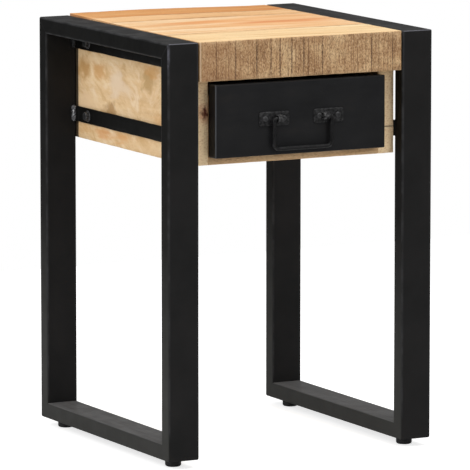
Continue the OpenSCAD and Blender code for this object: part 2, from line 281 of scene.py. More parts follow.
def powder_coat(name, sheen_and_wear_level):
    """Satin black coat: fine orange peel, dust low down with a painted sheen on the bottom rails' tops, and
    edges lightened by scuffing and by a painted highlight, as strongly as the second argument asks.

    The left faces carry painted shade and light: deeper black at the top, greyer near the floor. Painted
    highlights also lie along the top front rounds and at the top of the left front leg's outer edge.
    """
    s = Surface(name, 0.42, specular=0.05)
    clouds = s.even_noise(60 * MM, 1)
    colour = s.ramp(clouds, (0.3, srgb(31, 31, 31)), (0.7, srgb(38, 37, 37)))
    height = s.coordinate("Z")
    # Painted shade and light: left-facing faces darker towards the top and greyer towards the floor.
    painted_left_shading = s.ramp(height, (0.08, srgb(60, 60, 58)), (0.28, srgb(22, 21, 20)), (0.42, srgb(6, 6, 5)))
    colour = s.mix(s.math("MULTIPLY", s.towards(-X), 0.8), colour, painted_left_shading)
    # Edges lightened partly by scuffing and partly by a painted highlight, kept off the bottom rails.
    edge_sheen_and_wear = s.math("MULTIPLY", s.edges(), s.span(s.even_noise(16 * MM, 2), 0.35, 0.7, 0.3 * sheen_and_wear_level, sheen_and_wear_level))
    rail_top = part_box("left_bottom_rail")[1].z
    edge_sheen_and_wear = s.math("MULTIPLY", edge_sheen_and_wear, s.span(height, rail_top + 2 * MM, rail_top + 20 * MM))
    colour = s.mix(edge_sheen_and_wear, colour, srgb(54, 54, 55))
    # Painted highlight at the top of the left front leg's outer edge.
    colour = s.mix(painted_corner_highlight(s), colour, srgb(88, 88, 96))
    # Painted highlight on faces that look up and forward, along the tubes' top front rounds.
    crest_highlight = s.span(s.vector("DOT_PRODUCT", s.normal, (Z - Y).normalized(), output=1), 0.88, 0.96)
    colour = s.mix(crest_highlight, colour, srgb(96, 96, 102))
    # Bottom rails' tops painted greyer: dust and a painted sheen.
    colour = s.mix(rail_top_sheen_and_dust(s, height, rail_top), colour, srgb(102, 102, 102))
    specks = s.span(s.even_noise(1.1 * MM, 3, 1.0), 0.74, 0.82, 0.0, 0.5)
    colour = s.mix(specks, colour, srgb(52, 52, 54))
    roughness = s.span(s.even_noise(25 * MM, 4), 0.3, 0.7, 0.36, 0.5)
    peel = s.bump(s.even_noise(1.6 * MM, 5, 2.0), 0.05 * MM)
    normal = s.bump(s.even_noise(28 * MM, 6, 2.0), 0.25 * MM, peel)
    return s.finish(colour, roughness, normal)


def painted_corner_highlight(s):
    """1 on a painted highlight at the upper end of the left front leg's outer edge."""
    low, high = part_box("left_front_leg")
    glint = s.spot(Vector((low.x, low.y, high.z - 10 * MM)), (3.4 * MM, 3.4 * MM, 34 * MM), 0.5, 7)
    return s.math("MULTIPLY", glint, s.span(s.even_noise(6 * MM, 8), 0.3, 0.6, 0.2, 1.0))


def rail_top_sheen_and_dust(s, height, rail_top):
    """1 where the upper faces of the bottom rails are painted greyer: partly fine dust with lengthwise
    brushing, partly a painted sheen of the light from above.
    """
    low = s.math("MULTIPLY", s.span(height, rail_top + 2 * MM, rail_top + MM), s.towards(Z))
    brushed = s.noise(s.stretched((1.5 * MM, 60 * MM, 40 * MM), seed=9), 3.0)
    return s.math("MULTIPLY", low, s.span(brushed, 0.25, 0.75, 0.55, 1.0))


def sheet_coat():
    """The drawer's thin steel facing: the same coat, a little mottled and scuffed, with slight dents and a
    painted highlight along its left fold.
    """
    s = Surface("sheet_coat", 0.4, specular=0.08)
    mottle = s.noise(s.stretched((70 * MM, 70 * MM, 30 * MM), seed=11), 4.0)
    colour = s.ramp(mottle, (0.3, srgb(29, 29, 30)), (0.55, srgb(34, 34, 35)), (0.75, srgb(41, 39, 38)))
    scuffs = s.noise(s.stretched((9 * MM, 9 * MM, 1.2 * MM), (0, 0.5, 0), 12), 2.0)
    colour = s.mix(s.span(scuffs, 0.68, 0.8, 0.0, 0.5), colour, srgb(58, 58, 60))
    # Painted highlight along the left fold, found from the normals.
    lean = s.vector("DOT_PRODUCT", s.normal, -X, output=1)
    fold = s.math("MULTIPLY", s.span(lean, 0.25, 0.6), s.span(lean, 0.99, 0.85))
    colour = s.mix(fold, colour, srgb(92, 94, 98))
    roughness = s.span(s.even_noise(18 * MM, 13), 0.3, 0.7, 0.34, 0.52)
    peel = s.bump(s.even_noise(1.5 * MM, 14, 2.0), 0.05 * MM)
    normal = s.bump(s.even_noise(45 * MM, 15, 1.0), 0.7 * MM, peel)
    return s.finish(colour, roughness, normal)


def weld_metal():
    """Weld seams: bare grey crowns and sooty dark lumps on the lower ones, thick coat on the ones under the
    top rails.
    """
    s = Surface("weld_metal", 0.4, metallic=0.5)
    lumps = s.even_noise(1.8 * MM, 21)
    colour = s.ramp(lumps, (0.38, srgb(44, 44, 46)), (0.52, srgb(112, 113, 116)), (0.7, srgb(190, 190, 192)))
    height = s.coordinate("Z")
    bar_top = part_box("left_lower_bar")[1].z
    colour = s.mix(s.span(height, bar_top + 20 * MM, bar_top + 30 * MM), colour, srgb(30, 30, 31))
    roughness = s.span(lumps, 0.3, 0.7, 0.55, 0.28)
    return s.finish(colour, roughness, s.bump(s.even_noise(0.9 * MM, 22), 0.2 * MM))


def black_steel(name, seed, low, high, lump, depth):
    """Black finished small steel: bolts, washers, and the forged handle with its hammer marks."""
    s = Surface(name, 0.38, specular=0.18)
    dark, pale = srgb(low, low, low + 1), srgb(high, high, high + 1)
    colour = s.ramp(s.even_noise(6 * MM, seed), (0.3, dark), (0.7, pale))
    # Edges lightened partly by scuffing and partly by a painted highlight.
    edge_sheen_and_wear = s.math("MULTIPLY", s.edges(0.515, 0.57), s.span(s.even_noise(3 * MM, seed + 1), 0.35, 0.7))
    colour = s.mix(s.math("MULTIPLY", edge_sheen_and_wear, 0.45), colour, srgb(120, 119, 120))
    roughness = s.span(s.even_noise(4 * MM, seed + 2), 0.3, 0.7, 0.3, 0.5)
    marks = s.bump(s.even_noise(lump, seed + 3, 1.0), depth)
    normal = s.bump(s.even_noise(0.7 * MM, seed + 4, 2.0), 0.04 * MM, marks)
    return s.finish(colour, roughness, normal)


def foot_plastic():
    """Black moulded polyethylene, scuffed near the floor."""
    s = Surface("moulded_plastic", 0.5, specular=0.45)
    colour = s.ramp(s.even_noise(5 * MM, 41), (0.3, srgb(20, 20, 21)), (0.7, srgb(31, 31, 32)))
    height = s.coordinate("Z")
    low = s.span(height, 3 * MM, 0.0)
    scuffs = s.math("MULTIPLY", low, s.span(s.even_noise(1.2 * MM, 42), 0.45, 0.7))
    colour = s.mix(scuffs, colour, srgb(92, 91, 90))
    roughness = s.span(s.even_noise(2 * MM, 43), 0.3, 0.7, 0.42, 0.62)
    return s.finish(colour, roughness, s.bump(s.even_noise(0.5 * MM, 44), 0.03 * MM))


class Wood(Surface):
    """Mango wood: broad bands of colour, finer figure, fibres and pores, all stretched along the grain."""

    def __init__(self, name, grain, pale, warm, streak, seed, contrast=1.0):
        super().__init__(name, 0.62, specular=0.3)
        self.grain, self.seed = grain, seed
        self.broad = self.fibrous(260 * MM, 19 * MM, 1, 2.0, 0.5)
        self.figure = self.fibrous(120 * MM, 4.5 * MM, 2, 4.0, 0.7)
        self.fibre = self.fibrous(22 * MM, 0.7 * MM, 3, 2.0)
        self.pores = self.fibrous(7 * MM, 0.5 * MM, 4, 1.0)
        colour = self.ramp(self.broad, (0.32, pale), (0.56, warm), (0.78, streak))
        colour = self.mix(self.span(self.figure, 0.5, 0.8, 0.0, 0.55 * contrast), colour, streak)
        fibre = self.span(self.fibre, 0.35, 0.75, 0.0, 0.24 * contrast)
        colour = self.mix(fibre, colour, grey(0.25), "MULTIPLY")
        pores = self.span(self.pores, 0.66, 0.76, 0.0, 0.5 * contrast)
        self.colour = self.mix(pores, colour, srgb(118, 84, 52), "MULTIPLY")
        relief = self.bump(self.figure, 0.2 * MM * contrast)
        self.relief = self.bump(self.fibre, 0.12 * MM * contrast, relief)

    def fibrous(self, long, wide, step, detail=3.0, distortion=0.0):
        """Noise stretched along the grain."""
        size = [long if axis == self.grain else wide for axis in "XYZ"]
        return self.noise(self.stretched(size, seed=self.seed + step), detail, 0.55, distortion)

    def stain(self, mask, colour, strength, mode="MIX"):
        """Lays a colour over the wood where mask is 1."""
        self.colour = self.mix(self.math("MULTIPLY", mask, strength), self.colour, colour, mode)

    def end_grain(self, direction):
        """Darker, speckled ends."""
        ends = self.towards(direction)
        specks = self.span(self.even_noise(1.3 * MM, self.seed + 7), 0.35, 0.7)
        self.stain(ends, srgb(176, 134, 92), 0.6, "MULTIPLY")
        self.stain(self.math("MULTIPLY", ends, specks), srgb(128, 92, 60), 0.45)

    def worn_edges(self, colour, strength=0.5):
        self.stain(self.edges(0.51, 0.57), colour, strength)

    def done(self):
        roughness = self.span(self.figure, 0.3, 0.7, 0.52, 0.72)
        return self.finish(self.colour, roughness, self.relief)


def plank_wood(n):
    """The four planks of the top, front to back: cream, streaked peach, tan and orange."""
    looks = [
        (srgb(242, 216, 170), srgb(232, 196, 146), srgb(208, 164, 112)),
        (srgb(238, 212, 174), srgb(232, 190, 140), srgb(206, 144, 88)),
        (srgb(238, 198, 150), srgb(228, 180, 126), srgb(190, 138, 86)),
        (srgb(218, 164, 104), srgb(208, 142, 80), srgb(190, 114, 56)),
    ]
    pale, warm, streak = looks[n]
    wood = Wood(f"plank_wood_{n + 1}", "X", pale, warm, streak, 10 * n)
    if n == 1:
        low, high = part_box("front_middle_plank")
        heart = Vector((0.45 * high.x, 0.5 * (low.y + high.y), high.z))
        wood.stain(wood.spot(heart, (0.16, 0.12, 40 * MM), 0.3, 2), srgb(226, 162, 102), 0.4)
        wood.stain(wood.spot(heart, (95 * MM, 22 * MM, 40 * MM), 0.6, 3), srgb(206, 124, 66), 0.7)
        wood.stain(wood.spot(heart + Vector((-0.1, 0.03, 0)), (90 * MM, 16 * MM, 40 * MM), 0.7, 5),
                   srgb(214, 140, 80), 0.7)
    seams(wood, n)
    for end in (-X, X):
        wood.end_grain(end)
    if n == 0:
        rough_sawn(wood)
    wood.worn_edges(srgb(240, 206, 160), 0.35)
    return wood.done()


def seams(wood, n):
    """Darkens a plank where it meets its neighbours."""
    low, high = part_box(PLANKS[n])
    place = wood.coordinate("Y")
    gritty = wood.span(wood.even_noise(12 * MM, 66), 0.3, 0.6, 0.35, 0.8)
    reach = 6 * MM
    if n > 0:
        near = wood.span(place, low.y + reach, low.y)
        wood.stain(wood.math("MULTIPLY", near, gritty), srgb(146, 94, 54), 1.0)
    if n < len(PLANKS) - 1:
        near = wood.span(place, high.y - 0.5 * reach, high.y)
        wood.stain(wood.math("MULTIPLY", near, gritty), srgb(146, 94, 54), 1.0)


def rough_sawn(wood):
    """The front plank's front face, as the saw left it: brown fuzz, upright saw lines and dark specks."""
    low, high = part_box("front_plank")
    front = wood.towards(-Y)
    patches = wood.noise(wood.stretched((34 * MM, 60 * MM, 24 * MM), seed=61), 3.0)
    sawn = wood.ramp(patches, (0.3, srgb(164, 124, 84)), (0.5, srgb(196, 156, 112)),
                     (0.72, srgb(222, 188, 142)))
    strokes = wood.noise(wood.stretched((2.2 * MM, 20 * MM, 18 * MM), seed=62), 3.0, 0.6)
    sawn = wood.mix(wood.span(strokes, 0.5, 0.7, 0.0, 0.45), sawn, srgb(120, 80, 48))
    sawn = wood.mix(wood.span(strokes, 0.44, 0.28, 0.0, 0.4), sawn, srgb(230, 200, 158))
    zones = wood.noise(wood.stretched((50 * MM, 1.0, 1.0), seed=66), 1.0)
    bands = wood.noise(wood.stretched((1.7 * MM, 1.0, 0.4), seed=65), 2.0, 0.6)
    bands = wood.math("MULTIPLY", wood.span(bands, 0.52, 0.66, 0.0, 0.8), wood.span(zones, 0.38, 0.55))
    sawn = wood.mix(bands, sawn, srgb(110, 74, 46))
    fuzz = wood.noise(wood.stretched((1.3 * MM, 4 * MM, 2.6 * MM), seed=63), 3.0, 0.7)
    sawn = wood.mix(wood.span(fuzz, 0.5, 0.62, 0.0, 0.65), sawn, srgb(104, 70, 44))
    sawn = wood.mix(wood.span(fuzz, 0.45, 0.33, 0.0, 0.5), sawn, srgb(236, 210, 172))
    for share, width in SAW_LINES:
        line = Vector((low.x + share * (high.x - low.x), low.y, 0.5 * (low.z + high.z)))
        groove = wood.spot(line, (width, 0.1, 40 * MM), 0.25, 64)
        broken = wood.math("MULTIPLY", groove, wood.span(fuzz, 0.36, 0.56, 0.4, 0.85))
        sawn = wood.mix(broken, sawn, srgb(70, 44, 28))
    across = wood.coordinate("X")
    sawn = wood.mix(wood.span(across, low.x + 80 * MM, low.x + 20 * MM, 0.0, 0.3), sawn, srgb(150, 104, 68))
    # Painted highlight: a pale rim along the left end of the front face.
    rim = wood.span(across, low.x + 3 * MM, low.x + 1.5 * MM, 0.0, 0.6)
    sawn = wood.mix(rim, sawn, srgb(226, 200, 166))
    wood.colour = wood.mix(front, wood.colour, sawn)
    teeth = wood.math("ADD", strokes, wood.math("MULTIPLY", fuzz, 0.6))
    wood.relief = wood.bump(teeth, 0.4 * MM, wood.relief)


def case_side_wood(side):
    """Side board of the case: cloudy tan with slanting fuzz, stains, a front face lightened by painted light,
    and painted shade beside the rear leg's welds.
    """
    node = "case_left_side" if side < 0 else "case_right_side"
    low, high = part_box(node)
    wood = Wood(node + "_wood", "Y", srgb(240, 208, 162), srgb(232, 196, 148), srgb(214, 174, 124), 70 + side,
                contrast=0.3)
    depth = wood.coordinate("Y")
    toward_front = wood.span(depth, 0.0, -90 * MM)
    toward_back = wood.span(depth, -90 * MM, 0.0)
    for tilt, where, strength, seed in ((55, toward_front, 0.55, 73), (-62, toward_back, 0.35, 74)):
        slant = (math.radians(tilt), 0, 0)
        clouds = wood.noise(wood.stretched((60 * MM, 16 * MM, 28 * MM), slant, seed), 4.0, 0.6, 0.8)
        pale = wood.math("MULTIPLY", where, wood.span(clouds, 0.5, 0.7))
        wood.stain(pale, srgb(246, 220, 186), 0.75)
        dark = wood.math("MULTIPLY", where, wood.span(clouds, 0.47, 0.3))
        wood.stain(dark, srgb(206, 162, 106), 0.6)
        tufts = wood.noise(wood.stretched((60 * MM, 3 * MM, 17 * MM), slant, seed + 10), 4.0, 0.6, 0.6)
        pale = wood.math("MULTIPLY", where, wood.span(tufts, 0.54, 0.7))
        wood.stain(pale, srgb(250, 226, 184), strength)
        dark = wood.math("MULTIPLY", where, wood.span(tufts, 0.45, 0.3))
        wood.stain(dark, srgb(200, 154, 102), 0.6 * strength)
    stains = [  # share of the depth from the front, share of the height, radii, colour, strength
        (0.745, 0.68, (24 * MM, 14 * MM), srgb(206, 148, 80), 0.65),
        (0.88, 0.69, (28 * MM, 22 * MM), srgb(184, 134, 70), 0.75),
        (0.35, 0.71, (24 * MM, 19 * MM), srgb(176, 136, 76), 0.6),
        (0.66, 0.34, (24 * MM, 14 * MM), srgb(168, 124, 70), 0.75),
        (0.26, 0.35, (16 * MM, 12 * MM), srgb(214, 158, 98), 0.5),
        (0.32, 0.80, (26 * MM, 12 * MM), srgb(214, 158, 90), 0.6),
        (0.60, 0.59, (40 * MM, 20 * MM), srgb(236, 212, 184), 0.7),
        (0.86, 0.36, (34 * MM, 16 * MM), srgb(240, 206, 166), 0.6),
        (0.73, 0.10, (30 * MM, 9 * MM), srgb(212, 140, 72), 0.6),
        (0.56, 0.10, (30 * MM, 9 * MM), srgb(218, 152, 84), 0.55),
        (0.88, 0.10, (26 * MM, 9 * MM), srgb(214, 164, 102), 0.5),
    ]
    for number, (along, up, (wide, tall), colour, strength) in enumerate(stains):
        centre = Vector((low.x, low.y + along * (high.y - low.y), low.z + up * (high.z - low.z)))
        wood.stain(wood.spot(centre, (0.2, wide, tall), 0.9, 80 + number), colour, strength)
    # Painted shade: a dark strip on the board where the gap beside the rear leg lies in shadow.
    leg_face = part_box("left_rear_leg")[0].y
    beside_leg = wood.span(depth, leg_face - 5 * MM, leg_face - 4 * MM)
    painted_leg_shade = wood.math("MULTIPLY", beside_leg, wood.towards(X * side))
    wood.stain(painted_leg_shade, srgb(26, 22, 18), 0.92)
    front_edge(wood, low, high, side)
    return wood.done()


def front_edge(wood, low, high, side):
    """The sawn front edge of a side board; the left one has a knot, the right one a crack."""
    front = wood.towards(-Y)
    ticks = wood.noise(wood.stretched((3 * MM, 10 * MM, 1.5 * MM), seed=91), 2.0)
    # Painted light: the front face is laid over with a pale colour to lift it out of the shade under the
    # front plank and beside the legs.
    wood.stain(front, srgb(255, 226, 182), 0.9)
    wood.stain(wood.math("MULTIPLY", front, wood.span(ticks, 0.48, 0.68)), srgb(214, 168, 120), 0.6)
    if side < 0:
        knot = Vector((high.x - 4 * MM, low.y, low.z + 61 * MM))
        wood.stain(wood.spot(knot, (17 * MM, 20 * MM, 15 * MM), 0.6, 92), srgb(204, 138, 96), 0.7)
        wood.stain(wood.spot(knot, (8 * MM, 14 * MM, 9 * MM), 1.1, 93), srgb(84, 30, 20), 0.95)
    else:
        crack = Vector((0.5 * (low.x + high.x), low.y, low.z + 32 * MM))
        wood.stain(wood.spot(crack, (20 * MM, 10 * MM, 1.3 * MM), 0.3, 94), srgb(70, 46, 30), 0.8)


def case_wood(name, grain, seed):
    """Plain sawn board of the case or the drawer."""
    wood = Wood(name, grain, srgb(232, 194, 148), srgb(214, 172, 124), srgb(178, 132, 86), seed)
    ticks = wood.noise(wood.stretched((4 * MM, 30 * MM, 2 * MM), seed=seed + 5), 2.0)
    front = wood.towards(-Y)
    wood.stain(wood.math("MULTIPLY", front, wood.span(ticks, 0.45, 0.7)), srgb(150, 108, 74), 0.5)
    wood.worn_edges(srgb(222, 190, 146), 0.4)
    return wood.done()


# ---------- mesh building ----------

def skin(bm, rings, looped=False):
    """Joins rings of points into a surface: a tube with closed ends, or a closed loop."""
    grid = [[bm.verts.new(point) for point in ring] for ring in rings]
    pairs = list(zip(grid, grid[1:] + grid[:1])) if looped else list(zip(grid, grid[1:]))
    for one, two in pairs:
        for i in range(len(one)):
            j = (i + 1) % len(one)
            bm.faces.new((one[i], one[j], two[j], two[i]))
    if not looped:
        bm.faces.new(grid[0])
        bm.faces.new(grid[-1])


def piece(bm, material, *nodes, sharp=50):
    """Makes an object of a bmesh. It rides on the body of its CAD nodes, and stands for them."""
    bmesh.ops.recalc_face_normals(bm, faces=bm.faces)
    mesh = bpy.data.meshes.new(nodes[0] + "_detail")
    bm.to_mesh(mesh)
    bm.free()
    mesh.polygons.foreach_set("use_smooth", [True] * len(mesh.polygons))
    mesh.set_sharp_from_angle(angle=math.radians(sharp))
    made = add_object(mesh.name, mesh, material)
    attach(made, frame["nodes"][nodes[0]]["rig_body"])
    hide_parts(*nodes)
    return made


def arc(centre, radius, start, end, count):
    """Points on an arc in a plane, with both ends; angles in degrees."""
    angles = [math.radians(start + (end - start) * i / count) for i in range(count + 1)]
    return [(centre[0] + radius * math.cos(a), centre[1] + radius * math.sin(a)) for a in angles]


def rounded_outline(width, height, radius, count=4):
    """Rectangle from the origin with round corners, anticlockwise."""
    corners = [(width - radius, radius, -90), (width - radius, height - radius, 0),
               (radius, height - radius, 90), (radius, radius, 180)]
    return [point for x, y, start in corners for point in arc((x, y), radius, start, start + 90, count)]


def with_margins(outline, margin):
    """Adds a point near both ends of each long side, so that scuffing and painted highlights laid along the
    edges stay narrow.
    """
    points = []
    for one, two in zip(outline, outline[1:] + outline[:1]):
        points.append(one)
        length = math.dist(one, two)
        if length > 3 * margin:
            for t in (margin / length, 1 - margin / length):
                points.append((one[0] + t * (two[0] - one[0]), one[1] + t * (two[1] - one[1])))
    return points


def mitred_tube(start, end, inward, low_x, high_x, thick, material, node):
    """Steel tube along one side of a frame. Its outer ends are ground to a small round at both mitres."""
    ground = 1.5 * MM
    ground_inset = (1 - math.sqrt(0.5)) * ground
    straight = thick + 6 * MM
    along = (end - start).normalized()
    length = (end - start).length
    section = with_margins(rounded_outline(high_x - low_x, thick, 2 * MM), 1.5 * MM)
    stations = []
    for x, y in arc((ground, ground), ground, 225, 270, 5):
        stations.append((x, y, thick + x - ground_inset))
    stations.append((straight, 0.0, straight))
    stations += [(length - outer, depth, length - inner) for outer, depth, inner in reversed(stations)]
    rings = []
    for outer, depth, inner in stations:
        ring = []
        for across, into in section:
            t = into / thick
            point = start + along * (outer + (inner - outer) * t) + inward * (depth + (thick - depth) * t)
            ring.append(Vector((low_x + across, point.y, point.z)))
        rings.append(ring)
    bm = bmesh.new()
    skin(bm, rings)
    piece(bm, material, node)


def sliced(bm, spacing):
    """Cuts the mesh by planes across X, Y and Z, so that its flat faces can be shaped."""
    points = [v.co.copy() for v in bm.verts]
    for axis, step in enumerate(spacing):
        low, high = min(p[axis] for p in points), max(p[axis] for p in points)
        count = max(1, round((high - low) / step))
        normal = (X, Y, Z)[axis]
        for i in range(1, count):
            place = normal * (low + (high - low) * i / count)
            whole = bm.verts[:] + bm.edges[:] + bm.faces[:]
            bmesh.ops.bisect_plane(bm, geom=whole, plane_co=place, plane_no=normal)


def prism(outline, low_x, high_x):
    """Solid with a (y, z) outline, from low_x to high_x."""
    bm = bmesh.new()
    skin(bm, [[Vector((x, y, z)) for y, z in outline] for x in (low_x, high_x)])
    return bm


def box_outline(low, high):
    return [(low.y, low.z), (high.y, low.z), (high.y, high.z), (low.y, high.z)]


def board(node, material, edge, spacing, shape=None, outline=None):
    """Board with eased edges in place of a CAD node; shape(point) gives how far each point moves."""
    low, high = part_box(node)
    bm = prism(outline or box_outline(low, high), low.x, high.x)
    bmesh.ops.bevel(bm, geom=bm.edges[:], offset=edge, segments=3, profile=0.5, affect="EDGES")
    sliced(bm, spacing)
    for vertex in bm.verts:
        uneven(vertex, low, high)
        if shape:
            vertex.co += shape(vertex.co, low, high)
    return piece(bm, material, node, sharp=60)


def uneven(vertex, low, high):
    """Sinks a board's surface a little: slow waves on the faces, small nicks along the edges."""
    nick_reach, corner_reach, surface_reach = 2.5 * MM, 0.6 * MM, 3 * MM
    centre = 0.5 * (low + high)
    reach = [min(vertex.co[i] - low[i], high[i] - vertex.co[i]) for i in range(3)]
    nearest = sorted(reach)
    wave = 0.12 * MM * (1 + noise.noise(vertex.co * 22))
    edge = max(0.0, 1 - nearest[1] / nick_reach)
    nick = 0.5 * MM * edge * max(0.0, noise.noise(vertex.co * 130) + 0.1)
    for i in range(3):
        if reach[i] < nearest[0] + corner_reach and reach[i] < surface_reach:
            vertex.co[i] += math.copysign(wave + nick, centre[i] - vertex.co[i])


# ---------- the table ----------

def top_height(point):
    """How far the top lies above its front edge: it climbs to the back, and sags at the right end."""
    start, back = TOP_FRONT, TOP_BACK
    climb = min(1.0, max(0.0, (point.y - start.y) / (back.y - start.y)))
    sag_start, sag = -0.4 * back.x, 1.3
    side = min(1.0, max(0.0, (point.x - sag_start) / (back.x - sag_start)))
    fall = side * side * (3 - 2 * side)
    return (back.z - start.z) * climb ** 2 * (1 - sag * fall)


def plank_shape(point, low, high):
    """Brings the plank's upper face to the height of the uneven top."""
    share = (point.z - low.z) / (high.z - low.z)
    rise = high.z - TOP_FRONT.z
    return Z * share * (top_height(point) - rise)


def front_plank_shape(point, low, high):
    """The plank's shape, with the saw's marks and grooves cut into its front face."""
    move = plank_shape(point, low, high)
    face_depth = 1.2 * MM
    if point.y - low.y < face_depth:
        width = high.x - low.x
        ridges = noise.noise(Vector((point.x * 420, 0, point.z * 14)))
        chatter = noise.noise(Vector((point.x * 160, 5, point.z * 60)))
        depth = 0.22 * MM * (1 + ridges) + 0.12 * MM * (1 + chatter)
        for share, wide in SAW_LINES:
            away = abs(point.x - low.x - share * width) / (1.2 * wide)
            depth += 0.3 * MM * max(0.0, 1 - away)
        move += Y * depth
    return move


def add_planks():
    """The front plank is cut finely, so that its face can hold the saw's marks."""
    board(PLANKS[0], plank_wood(0), 1.0 * MM, (1.2 * MM, 9 * MM, 4.5 * MM), front_plank_shape)
    for n in range(1, len(PLANKS)):
        board(PLANKS[n], plank_wood(n), 0.8 * MM, (9 * MM, 6 * MM, 8 * MM), plank_shape)


def add_case():
    """Side boards, notched under the front plank, and the case's other boards and dowels."""
    plank_low, plank_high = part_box("front_plank")
    for side, node in ((-1, "case_left_side"), (1, "case_right_side")):
        low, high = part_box(node)
        outline = [(low.y, low.z), (high.y, low.z), (high.y, high.z), (plank_high.y, high.z),
                   (plank_high.y, plank_low.z), (low.y, plank_low.z)]
        board(node, case_side_wood(side), 0.7 * MM, (7 * MM, 6 * MM, 6 * MM), outline=outline)
    plain = case_wood("case_wood", "X", 100)
    for node in ("case_bottom", "case_back"):
        board(node, plain, 0.6 * MM, (8 * MM, 8 * MM, 6 * MM))
    board("drawer_stop", plain, 0.8 * MM, (5 * MM, 5 * MM, 5 * MM))
    finish_node("case_dowels", plain)


def finish_node(node, material):
    """Keeps a CAD node's shape and gives it a finished material."""
    slots = frame["nodes"][node].data.materials
    slots.clear()
    slots.append(material)


def add_side_frame(side, coat, bar_coat):
    """Four mitred tubes and the two crossbars between the legs."""
    name = "left" if side < 0 else "right"
    low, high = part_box(name + "_front_leg")
    thick = high.y - low.y
    back_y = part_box(name + "_rear_leg")[1].y
    front_low, front_high = Vector((0, low.y, low.z)), Vector((0, low.y, high.z))
    back_low, back_high = Vector((0, back_y, low.z)), Vector((0, back_y, high.z))
    tubes = [("front_leg", front_low, front_high, Y), ("rear_leg", back_low, back_high, -Y),
             ("top_rail", front_high, back_high, -Z), ("bottom_rail", front_low, back_low, Z)]
    for part, start, end, inward in tubes:
        mitred_tube(start, end, inward, low.x, high.x, thick, coat, f"{name}_{part}")
    for part in ("upper_bar", "lower_bar"):
        board(f"{name}_{part}", bar_coat, 0.6 * MM, (5 * MM, 15 * MM, 7 * MM))


def add_welds(side, material):
    """Rippled beads in the corners between the legs and the outer faces of the bars."""
    name = "left" if side < 0 else "right"
    front_face, back_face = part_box(name + "_front_leg")[1].y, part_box(name + "_rear_leg")[0].y
    bm = bmesh.new()
    for part in ("upper_bar", "lower_bar"):
        low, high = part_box(f"{name}_{part}")
        outer_x = low.x if side < 0 else high.x
        for face_y, inward in ((front_face, 1), (back_face, -1)):
            skin(bm, weld_rings(outer_x, face_y, side, inward, low.z, high.z))
    piece(bm, material, name + "_welds", sharp=80)


def weld_rings(x, y, side, inward, low_z, high_z):
    """Cross-sections of one bead, from its lower to its upper end."""
    leg, ripple, steps = 3.6 * MM, 1.9 * MM, 44
    past_end, root = 0.4 * MM, MM
    rings = []
    for i in range(steps + 1):
        t = i / steps
        z = low_z - past_end + t * (high_z - low_z + 2 * past_end)
        swell = 1 + 0.16 * abs(math.sin(math.pi * z / ripple))
        swell += 0.3 * noise.noise(Vector((x, y * 90, z * 260)))
        size = leg * swell * math.sqrt(max(0.0, 1 - (2 * t - 1) ** 8)) + 0.2 * MM
        sag = 0.4 * MM * math.sin(z * 900)
        ring = [Vector((x + side * a, y + inward * b, z + sag)) for a, b in arc((0, 0), size, 0, 90, 8)]
        for a, b in ((-root, 0.3 * size), (-root, -root), (0.3 * size, -root)):
            ring.append(Vector((x + side * a, y + inward * b, z)))
        rings.append(ring)
    return rings


def turned(bm, profile, centre, axis, segments=40, looped=False):
    """Revolves (radius, height) points round an axis."""
    side = axis.orthogonal().normalized()
    other = axis.cross(side)
    rings = []
    for radius, height in profile:
        ring = []
        for i in range(segments):
            angle = 2 * math.pi * i / segments
            ray = side * math.cos(angle) + other * math.sin(angle)
            ring.append(centre + axis * height + ray * radius)
        rings.append(ring)
    skin(bm, rings, looped)


def hexagon(angle):
    """Radius of a hexagon relative to its corners' radius."""
    return math.cos(math.pi / 6) / math.cos(angle % (math.pi / 3) - math.pi / 6)


def add_fasteners(side, material):
    """Hexagon bolts on washers, two on each crossbar, with their heads turned differently."""
    name = "left" if side < 0 else "right"
    low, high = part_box(name + "_washers")
    bolt_low, bolt_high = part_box(name + "_bolts")
    outward = X * side
    seat, top = (high.x, low.x) if side < 0 else (low.x, high.x)
    tip, crown = (bolt_high.x, bolt_low.x) if side < 0 else (bolt_low.x, bolt_high.x)
    thick, head, depth = abs(top - seat), abs(crown - top), abs(tip - top)
    radius, hole, corner = 7 * MM, 3 * MM, 5.5 * MM
    shank, point, ease = hole - 0.05 * MM, 0.5 * MM, 0.25 * MM
    washer = [(hole, 0), (radius - ease, 0), (radius, ease), (radius, thick - ease), (radius - ease, thick),
              (hole, thick)]
    rod = [(hole - point, -depth), (shank, point - depth), (shank, 0)]
    places = [(y, z) for y in (low.y + radius, high.y - radius) for z in (low.z + radius, high.z - radius)]
    washers, bolts = bmesh.new(), bmesh.new()
    for number, (y, z) in enumerate(places):
        turned(washers, washer, Vector((seat, y, z)), outward, looped=True)
        hexagon_head(bolts, Vector((top, y, z)), outward, corner, head, 17 * number)
        turned(bolts, rod, Vector((top, y, z)), outward, 24)
    piece(washers, material, name + "_washers")
    piece(bolts, material, name + "_bolts", sharp=25)


def hexagon_head(bm, centre, axis, corner, height, twist):
    """Hexagon head whose upper corners are turned off by a cone."""
    flat = corner * math.cos(math.pi / 6)
    slope = math.tan(math.pi / 6)
    side = axis.orthogonal().normalized()
    other = axis.cross(side)
    steps = 48
    rings = [[], [], [], []]
    for i in range(steps):
        angle = 2 * math.pi * i / steps
        out = corner * hexagon(angle)
        spin = angle + math.radians(twist)
        ray = side * math.cos(spin) + other * math.sin(spin)
        rings[0].append(centre + ray * out)
        rings[1].append(centre + ray * out + axis * (0.85 * height - (out - flat) * slope))
        rings[2].append(centre + ray * 0.93 * flat + axis * height)
        rings[3].append(centre + ray * 0.6 * flat + axis * 0.98 * height)
    skin(bm, rings)


